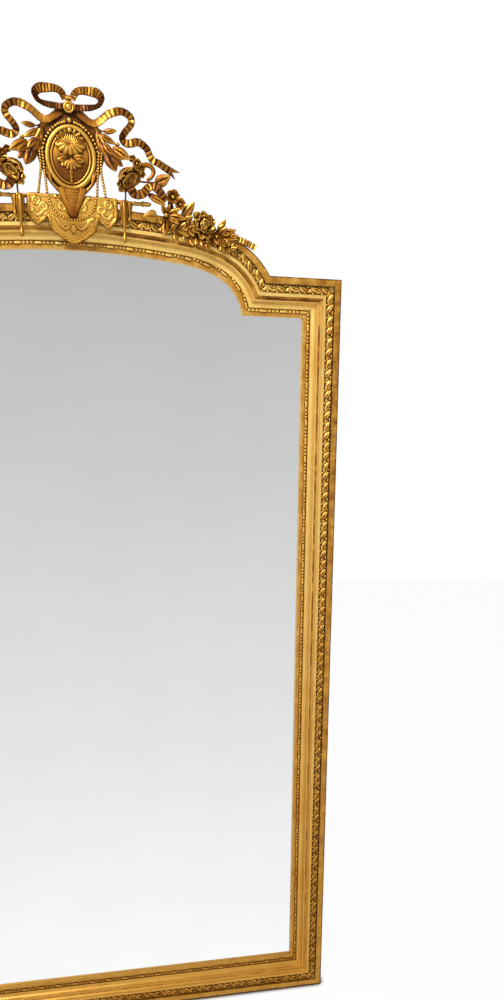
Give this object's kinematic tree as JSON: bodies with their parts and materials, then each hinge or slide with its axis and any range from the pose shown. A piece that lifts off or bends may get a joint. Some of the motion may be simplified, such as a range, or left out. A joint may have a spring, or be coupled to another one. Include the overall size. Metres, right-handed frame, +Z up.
{
  "type": "giltwood mirror",
  "caption": "Tall arched giltwood wall mirror with moulded frame, bead and laurel bands, and a carved crest of ribbon bow, oval shell cartouche, roses and flowers",
  "frame": {"origin": "middle of the bottom edge of the frame's back, on the wall plane", "axes": "+X to the viewer's right, +Z up, +Y into the wall, so the front faces -Y"},
  "size_m": [1.163, 0.0842, 2.1514],
  "materials": {
    "gilt": "water gilded on red bole over gesso, rubbed and toned",
    "mirror": "silvered plate glass",
    "pine": "old planed pine, unfinished",
    "steel": "dull wrought steel"
  },
  "bodies": {
    "frame": {"arch_leaves_left": "gilt", "arch_leaves_right": "gilt", "arch_left": "gilt", "arch_right": "gilt", "back_board_1": "pine", "back_board_2": "pine", "back_board_3": "pine", "back_board_4": "pine", "bead_rail_bottom": "gilt", "bead_rails_left": "gilt", "bead_rails_right": "gilt", "bloom_left": "gilt", "bloom_right": "gilt", "bottom_rail": "gilt", "bow_knot": "gilt", "bow_loop_left": "gilt", "bow_loop_right": "gilt", "cartouche_drop": "gilt", "cartouche_ground": "gilt", "cartouche_plaque": "gilt", "cartouche_rim": "gilt", "corner_keys": "pine", "crest_batten": "pine", "end_ribbon_left": "gilt", "end_ribbon_right": "gilt", "glass_wedges": "pine", "hanger_strap_left": "steel", "hanger_strap_right": "steel", "lambrequin": "gilt", "laurel_band_bottom": "gilt", "laurel_bands_left": "gilt", "laurel_bands_right": "gilt", "lily_and_blossom_left": "gilt", "lily_and_blossom_right": "gilt", "lower_ribbon_left": "gilt", "lower_ribbon_right": "gilt", "mirror_glass": "mirror", "pearl_border": "gilt", "pearl_strands_left": "gilt", "pearl_strands_right": "gilt", "pearl_swag": "gilt", "rose_left": "gilt", "rose_right": "gilt", "screws": "steel", "shell_relief": "gilt", "shoulder_left": "gilt", "shoulder_right": "gilt", "sprig_left": "gilt", "sprig_right": "gilt", "stile_left": "gilt", "stile_right": "gilt", "streamer_left": "gilt", "streamer_right": "gilt", "tassel_left": "gilt", "tassel_right": "gilt", "twig_left": "gilt", "twig_right": "gilt"},
    "ring_left": {"hanger_ring_left": "steel"},
    "ring_right": {"hanger_ring_right": "steel"}
  },
  "joints": [
    {"name": "ring_left_swing", "type": "hinge", "parent": "frame", "child": "ring_left", "pos_m": [-0.552, -0.0056, 1.45], "axis": [1, 0, 0], "range_deg": [0, 180]},
    {"name": "ring_right_swing", "type": "hinge", "parent": "frame", "child": "ring_right", "pos_m": [0.552, -0.0056, 1.45], "axis": [1, 0, 0], "range_deg": [0, 180]}
  ]
}
